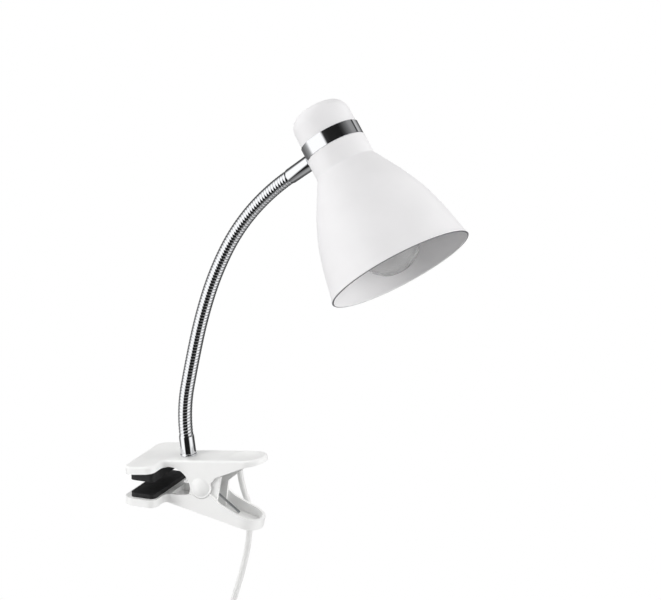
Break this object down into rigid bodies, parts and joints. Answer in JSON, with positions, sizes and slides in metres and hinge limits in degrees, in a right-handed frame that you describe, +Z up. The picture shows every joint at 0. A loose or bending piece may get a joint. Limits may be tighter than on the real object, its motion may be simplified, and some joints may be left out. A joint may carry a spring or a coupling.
{
  "type": "clip-on reading lamp",
  "caption": "Clip-on reading lamp with a bell-shaped metal shade on a ribbed bendable neck, a sprung clamp with rubber jaw pads, a lamp bulb, and a cord with an inline switch and plug.",
  "frame": {"origin": "middle of the upper jaw pad's contact face, where the clamp rests on a board's top", "axes": "+X from the jaws towards the handles, +Y away from the camera in the picture, +Z up"},
  "size_m": [0.2648, 0.1278, 0.5843],
  "materials": {
    "white_enamel": "satin",
    "white_plastic": "smooth",
    "chrome": "polished",
    "black_rubber": "matte",
    "zinc_steel": "zinc plated",
    "brass": "nickel-plated",
    "holder_plastic": "matte",
    "opal_glass": "opal",
    "cord_sheath": "satin",
    "tie_plastic": "matte"
  },
  "bodies": {
    "clamp": {"upper_jaw": "white_plastic", "upper_pad": "black_rubber", "pivot_pin": "zinc_steel", "pivot_caps": "white_plastic", "spring_upper": "zinc_steel", "base_ferrule": "chrome", "base_washer": "zinc_steel", "base_nut": "zinc_steel", "clamp_lead": "cord_sheath", "strain_relief": "cord_sheath", "gooseneck_span_1": "chrome", "neck_lead_1": "cord_sheath", "cord_upper": "cord_sheath", "switch_front": "white_plastic", "switch_back": "white_plastic", "switch_screws": "zinc_steel", "cord_lower": "cord_sheath", "cord_coil": "cord_sheath", "coil_tie": "tie_plastic", "plug_body": "white_plastic", "plug_pins": "brass"},
    "neck_2": {"gooseneck_span_2": "chrome", "neck_lead_2": "cord_sheath"},
    "neck_3": {"gooseneck_span_3": "chrome", "neck_lead_3": "cord_sheath"},
    "neck_4": {"gooseneck_span_4": "chrome", "neck_lead_4": "cord_sheath"},
    "neck_5": {"gooseneck_span_5": "chrome", "neck_lead_5": "cord_sheath"},
    "neck_6": {"gooseneck_span_6": "chrome", "neck_lead_6": "cord_sheath", "head_ferrule": "chrome", "head_nut": "zinc_steel"},
    "head": {"shade": "white_enamel", "chrome_band": "chrome", "rear_hood": "white_enamel", "head_lead": "cord_sheath", "holder_bracket": "zinc_steel", "holder_nipple": "zinc_steel", "holder_nut": "zinc_steel", "lampholder_body": "holder_plastic", "holder_shell": "brass", "holder_contact": "brass"},
    "bulb": {"bulb_globe": "opal_glass", "bulb_cap": "brass", "bulb_contact": "brass"},
    "lower_jaw": {"lower_jaw": "white_plastic", "lower_pad": "black_rubber", "spring_lower": "zinc_steel"},
    "rocker": {"switch_rocker": "white_plastic"}
  },
  "joints": [
    {"name": "neck_bend_low", "type": "hinge", "parent": "clamp", "child": "neck_2", "pos_m": [0.02507, 0, 0.06913], "axis": [0, 1, 0], "range_deg": [-30, 25]},
    {"name": "neck_sway_low", "type": "hinge", "parent": "neck_2", "child": "neck_3", "pos_m": [0.03316, 0, 0.10684], "axis": [0.9744, 0, -0.225], "range_deg": [-25, 25]},
    {"name": "neck_bend_mid", "type": "hinge", "parent": "neck_3", "child": "neck_4", "pos_m": [0.04372, 0, 0.14392], "axis": [0, 1, 0], "range_deg": [-30, 25]},
    {"name": "neck_sway_high", "type": "hinge", "parent": "neck_4", "child": "neck_5", "pos_m": [0.05896, 0, 0.17931], "axis": [0.8846, 0, -0.4664], "range_deg": [-25, 25]},
    {"name": "neck_bend_high", "type": "hinge", "parent": "neck_5", "child": "neck_6", "pos_m": [0.0807, 0, 0.21106], "axis": [0, 1, 0], "range_deg": [-30, 25]},
    {"name": "head_twist", "type": "hinge", "parent": "neck_6", "child": "head", "pos_m": [0.14461, 0, 0.26384], "axis": [0.8018, 0, 0.5976], "range_deg": [-45, 45]},
    {"name": "bulb_turn", "type": "hinge", "parent": "head", "child": "bulb", "pos_m": [0.20439, -0.02175, 0.18296], "axis": [-0.5841, 0.2113, 0.7837], "continuous": true},
    {"name": "jaw_hinge", "type": "hinge", "parent": "clamp", "child": "lower_jaw", "pos_m": [0.041, 0, -0.0045], "axis": [0, -1, 0], "range_deg": [-11, 28], "stiffness_Nm_per_rad": 0.6, "springref_deg": -57.3},
    {"name": "switch_rocker", "type": "hinge", "parent": "clamp", "child": "rocker", "pos_m": [0.0484, 0.0156, -0.1575], "axis": [1, 0, 0], "range_deg": [-8, 8]}
  ]
}
